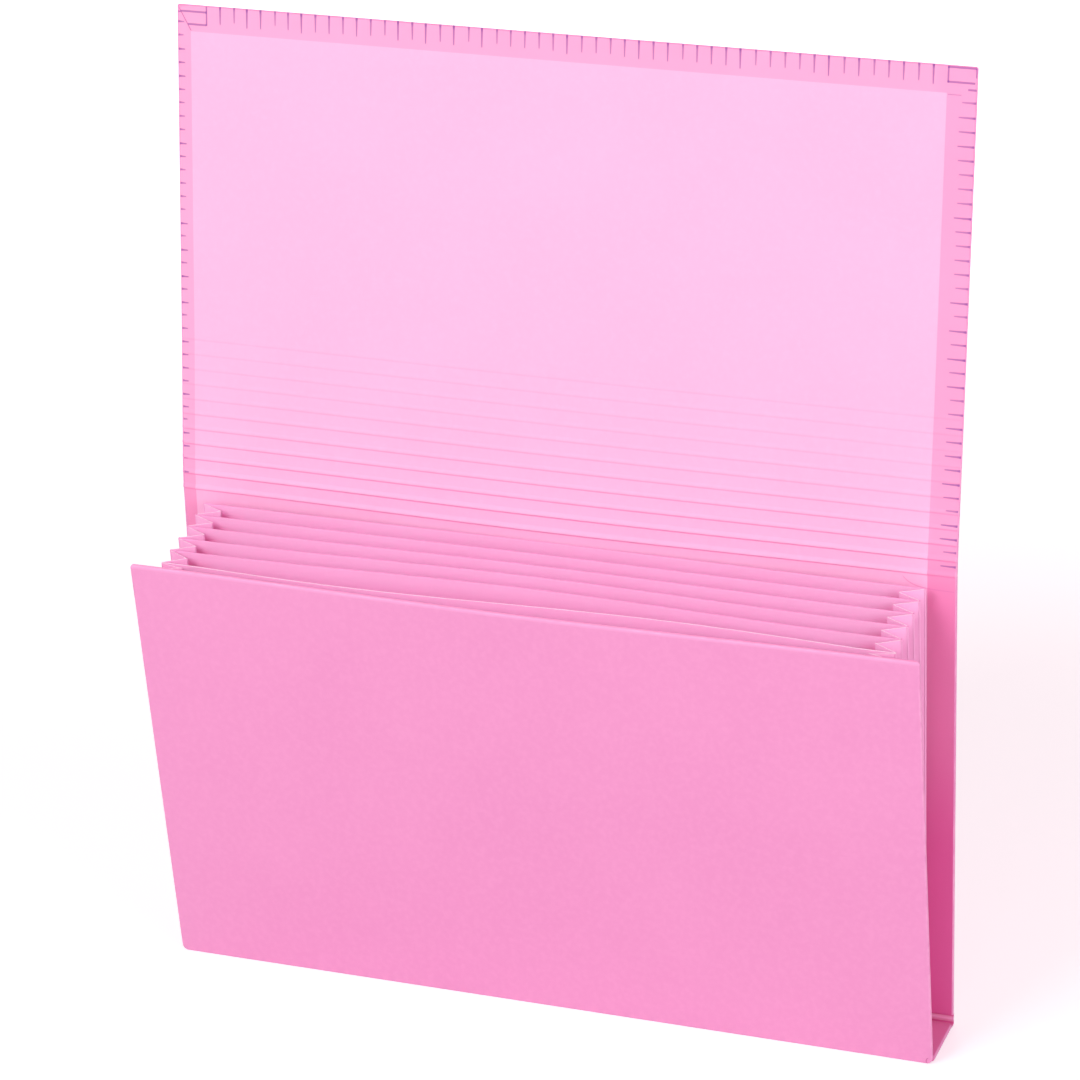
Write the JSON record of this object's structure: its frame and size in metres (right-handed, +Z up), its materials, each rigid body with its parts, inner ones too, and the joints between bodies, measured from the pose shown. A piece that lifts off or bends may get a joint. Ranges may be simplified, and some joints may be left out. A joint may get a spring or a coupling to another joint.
{
  "type": "accordion file folder",
  "caption": "Accordion file folder standing open on its spine: hard covers, a folding pocket bellows and a scored flap that folds over the front.",
  "frame": {"origin": "middle of the spine's underside, on which the folder stands", "axes": "+X to the right along the spine, +Y from the front cover to the back cover, +Z up"},
  "size_m": [0.34, 0.0844, 0.4145],
  "materials": {
    "cover_paper": "satin",
    "lining_paper": "matte",
    "bellows_paper": "matte",
    "board": "matte"
  },
  "bodies": {
    "case": {"back_wrap": "cover_paper", "back_board": "board", "back_lining": "lining_paper", "spine_wrap": "cover_paper", "spine_board": "board", "spine_lining": "lining_paper", "rear_panel": "bellows_paper", "bellows_floor": "bellows_paper"},
    "front_cover": {"front_wrap": "cover_paper", "front_board": "board", "front_lining": "lining_paper", "front_panel": "bellows_paper"},
    "divider_1": {"divider_1": "bellows_paper"},
    "divider_2": {"divider_2": "bellows_paper"},
    "divider_3": {"divider_3": "bellows_paper"},
    "divider_4": {"divider_4": "bellows_paper"},
    "divider_5": {"divider_5": "bellows_paper"},
    "leaf_left_1_rear": {"leaf_left_1_rear": "bellows_paper"},
    "leaf_left_1_front": {"leaf_left_1_front": "bellows_paper"},
    "leaf_right_1_rear": {"leaf_right_1_rear": "bellows_paper"},
    "leaf_right_1_front": {"leaf_right_1_front": "bellows_paper"},
    "leaf_left_2_rear": {"leaf_left_2_rear": "bellows_paper"},
    "leaf_left_2_front": {"leaf_left_2_front": "bellows_paper"},
    "leaf_right_2_rear": {"leaf_right_2_rear": "bellows_paper"},
    "leaf_right_2_front": {"leaf_right_2_front": "bellows_paper"},
    "leaf_left_3_rear": {"leaf_left_3_rear": "bellows_paper"},
    "leaf_left_3_front": {"leaf_left_3_front": "bellows_paper"},
    "leaf_right_3_rear": {"leaf_right_3_rear": "bellows_paper"},
    "leaf_right_3_front": {"leaf_right_3_front": "bellows_paper"},
    "leaf_left_4_rear": {"leaf_left_4_rear": "bellows_paper"},
    "leaf_left_4_front": {"leaf_left_4_front": "bellows_paper"},
    "leaf_right_4_rear": {"leaf_right_4_rear": "bellows_paper"},
    "leaf_right_4_front": {"leaf_right_4_front": "bellows_paper"},
    "leaf_left_5_rear": {"leaf_left_5_rear": "bellows_paper"},
    "leaf_left_5_front": {"leaf_left_5_front": "bellows_paper"},
    "leaf_right_5_rear": {"leaf_right_5_rear": "bellows_paper"},
    "leaf_right_5_front": {"leaf_right_5_front": "bellows_paper"},
    "leaf_left_6_rear": {"leaf_left_6_rear": "bellows_paper"},
    "leaf_left_6_front": {"leaf_left_6_front": "bellows_paper"},
    "leaf_right_6_rear": {"leaf_right_6_rear": "bellows_paper"},
    "leaf_right_6_front": {"leaf_right_6_front": "bellows_paper"},
    "flap_strip_01": {"flap_strip_01": "cover_paper"},
    "flap_strip_02": {"flap_strip_02": "cover_paper"},
    "flap_strip_03": {"flap_strip_03": "cover_paper"},
    "flap_strip_04": {"flap_strip_04": "cover_paper"},
    "flap_strip_05": {"flap_strip_05": "cover_paper"},
    "flap_strip_06": {"flap_strip_06": "cover_paper"},
    "flap_strip_07": {"flap_strip_07": "cover_paper"},
    "flap_strip_08": {"flap_strip_08": "cover_paper"},
    "flap_strip_09": {"flap_strip_09": "cover_paper"},
    "flap_strip_10": {"flap_strip_10": "cover_paper"},
    "flap": {"flap_wrap": "cover_paper", "flap_card": "board", "flap_lining": "lining_paper"}
  },
  "joints": [
    {"name": "front_cover_hinge", "type": "hinge", "parent": "case", "child": "front_cover", "pos_m": [0, -0.0165, 0.001], "axis": [-1, 0, 0], "range_deg": [0, 7]},
    {"name": "divider_1_hinge", "type": "hinge", "parent": "case", "child": "divider_1", "pos_m": [0, 0.0101, 0.00306], "axis": [-1, 0, 0], "range_deg": [-0.05, 1.4]},
    {"name": "divider_2_hinge", "type": "hinge", "parent": "case", "child": "divider_2", "pos_m": [0, 0.00505, 0.00306], "axis": [-1, 0, 0], "range_deg": [-0.05, 2.77]},
    {"name": "divider_3_hinge", "type": "hinge", "parent": "case", "child": "divider_3", "pos_m": [0, 0, 0.00306], "axis": [-1, 0, 0], "range_deg": [-0.05, 4.15]},
    {"name": "divider_4_hinge", "type": "hinge", "parent": "case", "child": "divider_4", "pos_m": [0, -0.00505, 0.00306], "axis": [-1, 0, 0], "range_deg": [-0.05, 5.56]},
    {"name": "divider_5_hinge", "type": "hinge", "parent": "case", "child": "divider_5", "pos_m": [0, -0.0101, 0.00306], "axis": [-1, 0, 0], "range_deg": [-0.05, 6.99]},
    {"name": "leaf_left_1_rear_fold", "type": "hinge", "parent": "case", "child": "leaf_left_1_rear", "pos_m": [-0.158, 0.01466, 0.00305], "axis": [0, -0.0224, 0.9997], "range_deg": [-0.05, 14.06]},
    {"name": "leaf_left_1_front_fold", "type": "hinge", "parent": "divider_1", "child": "leaf_left_1_front", "pos_m": [-0.158, 0.01059, 0.00308], "axis": [0, 0.0423, -0.9991], "range_deg": [-0.05, 14.06]},
    {"name": "leaf_right_1_rear_fold", "type": "hinge", "parent": "case", "child": "leaf_right_1_rear", "pos_m": [0.158, 0.01466, 0.00305], "axis": [0, 0.0224, -0.9997], "range_deg": [-0.05, 14.06]},
    {"name": "leaf_right_1_front_fold", "type": "hinge", "parent": "divider_1", "child": "leaf_right_1_front", "pos_m": [0.158, 0.01059, 0.00308], "axis": [0, -0.0423, 0.9991], "range_deg": [-0.05, 14.06]},
    {"name": "leaf_left_2_rear_fold", "type": "hinge", "parent": "divider_1", "child": "leaf_left_2_rear", "pos_m": [-0.158, 0.00961, 0.00304], "axis": [0, -0.0423, 0.9991], "range_deg": [-0.05, 14.15]},
    {"name": "leaf_left_2_front_fold", "type": "hinge", "parent": "divider_2", "child": "leaf_left_2_front", "pos_m": [-0.158, 0.00554, 0.00309], "axis": [0, 0.0625, -0.998], "range_deg": [-0.05, 14.15]},
    {"name": "leaf_right_2_rear_fold", "type": "hinge", "parent": "divider_1", "child": "leaf_right_2_rear", "pos_m": [0.158, 0.00961, 0.00304], "axis": [0, 0.0423, -0.9991], "range_deg": [-0.05, 14.15]},
    {"name": "leaf_right_2_front_fold", "type": "hinge", "parent": "divider_2", "child": "leaf_right_2_front", "pos_m": [0.158, 0.00554, 0.00309], "axis": [0, -0.0625, 0.998], "range_deg": [-0.05, 14.15]},
    {"name": "leaf_left_3_rear_fold", "type": "hinge", "parent": "divider_2", "child": "leaf_left_3_rear", "pos_m": [-0.158, 0.00456, 0.00303], "axis": [0, -0.0625, 0.998], "range_deg": [-0.05, 14.24]},
    {"name": "leaf_left_3_front_fold", "type": "hinge", "parent": "divider_3", "child": "leaf_left_3_front", "pos_m": [-0.158, 0.00049, 0.0031], "axis": [0, 0.083, -0.9966], "range_deg": [-0.05, 14.24]},
    {"name": "leaf_right_3_rear_fold", "type": "hinge", "parent": "divider_2", "child": "leaf_right_3_rear", "pos_m": [0.158, 0.00456, 0.00303], "axis": [0, 0.0625, -0.998], "range_deg": [-0.05, 14.24]},
    {"name": "leaf_right_3_front_fold", "type": "hinge", "parent": "divider_3", "child": "leaf_right_3_front", "pos_m": [0.158, 0.00049, 0.0031], "axis": [0, -0.083, 0.9966], "range_deg": [-0.05, 14.24]},
    {"name": "leaf_left_4_rear_fold", "type": "hinge", "parent": "divider_3", "child": "leaf_left_4_rear", "pos_m": [-0.158, -0.00049, 0.00302], "axis": [0, -0.083, 0.9966], "range_deg": [-0.05, 14.33]},
    {"name": "leaf_left_4_front_fold", "type": "hinge", "parent": "divider_4", "child": "leaf_left_4_front", "pos_m": [-0.158, -0.00456, 0.00311], "axis": [0, 0.1037, -0.9946], "range_deg": [-0.05, 14.33]},
    {"name": "leaf_right_4_rear_fold", "type": "hinge", "parent": "divider_3", "child": "leaf_right_4_rear", "pos_m": [0.158, -0.00049, 0.00302], "axis": [0, 0.083, -0.9966], "range_deg": [-0.05, 14.33]},
    {"name": "leaf_right_4_front_fold", "type": "hinge", "parent": "divider_4", "child": "leaf_right_4_front", "pos_m": [0.158, -0.00456, 0.00311], "axis": [0, -0.1037, 0.9946], "range_deg": [-0.05, 14.33]},
    {"name": "leaf_left_5_rear_fold", "type": "hinge", "parent": "divider_4", "child": "leaf_left_5_rear", "pos_m": [-0.158, -0.00554, 0.00301], "axis": [0, -0.1037, 0.9946], "range_deg": [-0.05, 14.42]},
    {"name": "leaf_left_5_front_fold", "type": "hinge", "parent": "divider_5", "child": "leaf_left_5_front", "pos_m": [-0.158, -0.00961, 0.00312], "axis": [0, 0.1247, -0.9922], "range_deg": [-0.05, 14.42]},
    {"name": "leaf_right_5_rear_fold", "type": "hinge", "parent": "divider_4", "child": "leaf_right_5_rear", "pos_m": [0.158, -0.00554, 0.00301], "axis": [0, 0.1037, -0.9946], "range_deg": [-0.05, 14.42]},
    {"name": "leaf_right_5_front_fold", "type": "hinge", "parent": "divider_5", "child": "leaf_right_5_front", "pos_m": [0.158, -0.00961, 0.00312], "axis": [0, -0.1247, 0.9922], "range_deg": [-0.05, 14.42]},
    {"name": "leaf_left_6_rear_fold", "type": "hinge", "parent": "divider_5", "child": "leaf_left_6_rear", "pos_m": [-0.158, -0.01059, 0.003], "axis": [0, -0.1247, 0.9922], "range_deg": [-0.05, 1.22]},
    {"name": "leaf_left_6_front_fold", "type": "hinge", "parent": "front_cover", "child": "leaf_left_6_front", "pos_m": [-0.158, -0.01493, 0.00327], "axis": [0, 0.1219, -0.9925], "range_deg": [-0.05, 1.22]},
    {"name": "leaf_right_6_rear_fold", "type": "hinge", "parent": "divider_5", "child": "leaf_right_6_rear", "pos_m": [0.158, -0.01059, 0.003], "axis": [0, 0.1247, -0.9922], "range_deg": [-0.05, 1.22]},
    {"name": "leaf_right_6_front_fold", "type": "hinge", "parent": "front_cover", "child": "leaf_right_6_front", "pos_m": [0.158, -0.01493, 0.00327], "axis": [0, -0.1219, 0.9925], "range_deg": [-0.05, 1.22]},
    {"name": "flap_score_01", "type": "hinge", "parent": "case", "child": "flap_strip_01", "pos_m": [0, 0.0175, 0.208], "axis": [1, 0, 0], "range_deg": [-8, 17.2]},
    {"name": "flap_score_02", "type": "hinge", "parent": "flap_strip_01", "child": "flap_strip_02", "pos_m": [0, 0.01787, 0.21454], "axis": [1, 0, 0], "range_deg": [-8, 17.2]},
    {"name": "flap_score_03", "type": "hinge", "parent": "flap_strip_02", "child": "flap_strip_03", "pos_m": [0, 0.01852, 0.22106], "axis": [1, 0, 0], "range_deg": [-8, 17.2]},
    {"name": "flap_score_04", "type": "hinge", "parent": "flap_strip_03", "child": "flap_strip_04", "pos_m": [0, 0.01934, 0.22756], "axis": [1, 0, 0], "range_deg": [-8, 17.2]},
    {"name": "flap_score_05", "type": "hinge", "parent": "flap_strip_04", "child": "flap_strip_05", "pos_m": [0, 0.02016, 0.23405], "axis": [1, 0, 0], "range_deg": [-8, 17.2]},
    {"name": "flap_score_06", "type": "hinge", "parent": "flap_strip_05", "child": "flap_strip_06", "pos_m": [0, 0.02098, 0.24055], "axis": [1, 0, 0], "range_deg": [-8, 17.2]},
    {"name": "flap_score_07", "type": "hinge", "parent": "flap_strip_06", "child": "flap_strip_07", "pos_m": [0, 0.0218, 0.24705], "axis": [1, 0, 0], "range_deg": [-8, 17.2]},
    {"name": "flap_score_08", "type": "hinge", "parent": "flap_strip_07", "child": "flap_strip_08", "pos_m": [0, 0.02262, 0.25355], "axis": [1, 0, 0], "range_deg": [-8, 17.2]},
    {"name": "flap_score_09", "type": "hinge", "parent": "flap_strip_08", "child": "flap_strip_09", "pos_m": [0, 0.02344, 0.26005], "axis": [1, 0, 0], "range_deg": [-8, 17.2]},
    {"name": "flap_score_10", "type": "hinge", "parent": "flap_strip_09", "child": "flap_strip_10", "pos_m": [0, 0.02426, 0.26655], "axis": [1, 0, 0], "range_deg": [-8, 17.2]},
    {"name": "flap_score_11", "type": "hinge", "parent": "flap_strip_10", "child": "flap", "pos_m": [0, 0.02508, 0.27304], "axis": [1, 0, 0], "range_deg": [-8, 17.2]}
  ],
  "couplings": [
    {"joint": "divider_1_hinge", "follows": "front_cover_hinge", "ratio": 0.19277},
    {"joint": "divider_2_hinge", "follows": "front_cover_hinge", "ratio": 0.38818},
    {"joint": "divider_3_hinge", "follows": "front_cover_hinge", "ratio": 0.58635},
    {"joint": "divider_4_hinge", "follows": "front_cover_hinge", "ratio": 0.7874},
    {"joint": "divider_5_hinge", "follows": "front_cover_hinge", "ratio": 0.99149},
    {"joint": "leaf_left_1_rear_fold", "follows": "front_cover_hinge", "ratio": 2.0018},
    {"joint": "leaf_left_1_front_fold", "follows": "front_cover_hinge", "ratio": 2.0018},
    {"joint": "leaf_right_1_rear_fold", "follows": "front_cover_hinge", "ratio": 2.0018},
    {"joint": "leaf_right_1_front_fold", "follows": "front_cover_hinge", "ratio": 2.0018},
    {"joint": "leaf_left_2_rear_fold", "follows": "front_cover_hinge", "ratio": 2.0145},
    {"joint": "leaf_left_2_front_fold", "follows": "front_cover_hinge", "ratio": 2.0145},
    {"joint": "leaf_right_2_rear_fold", "follows": "front_cover_hinge", "ratio": 2.0145},
    {"joint": "leaf_right_2_front_fold", "follows": "front_cover_hinge", "ratio": 2.0145},
    {"joint": "leaf_left_3_rear_fold", "follows": "front_cover_hinge", "ratio": 2.0273},
    {"joint": "leaf_left_3_front_fold", "follows": "front_cover_hinge", "ratio": 2.0273},
    {"joint": "leaf_right_3_rear_fold", "follows": "front_cover_hinge", "ratio": 2.0273},
    {"joint": "leaf_right_3_front_fold", "follows": "front_cover_hinge", "ratio": 2.0273},
    {"joint": "leaf_left_4_rear_fold", "follows": "front_cover_hinge", "ratio": 2.0402},
    {"joint": "leaf_left_4_front_fold", "follows": "front_cover_hinge", "ratio": 2.0402},
    {"joint": "leaf_right_4_rear_fold", "follows": "front_cover_hinge", "ratio": 2.0402},
    {"joint": "leaf_right_4_front_fold", "follows": "front_cover_hinge", "ratio": 2.0402},
    {"joint": "leaf_left_5_rear_fold", "follows": "front_cover_hinge", "ratio": 2.0531},
    {"joint": "leaf_left_5_front_fold", "follows": "front_cover_hinge", "ratio": 2.0531},
    {"joint": "leaf_right_5_rear_fold", "follows": "front_cover_hinge", "ratio": 2.0531},
    {"joint": "leaf_right_5_front_fold", "follows": "front_cover_hinge", "ratio": 2.0531},
    {"joint": "leaf_left_6_rear_fold", "follows": "front_cover_hinge", "ratio": 0.16705},
    {"joint": "leaf_left_6_front_fold", "follows": "front_cover_hinge", "ratio": 0.16705},
    {"joint": "leaf_right_6_rear_fold", "follows": "front_cover_hinge", "ratio": 0.16705},
    {"joint": "leaf_right_6_front_fold", "follows": "front_cover_hinge", "ratio": 0.16705}
  ]
}
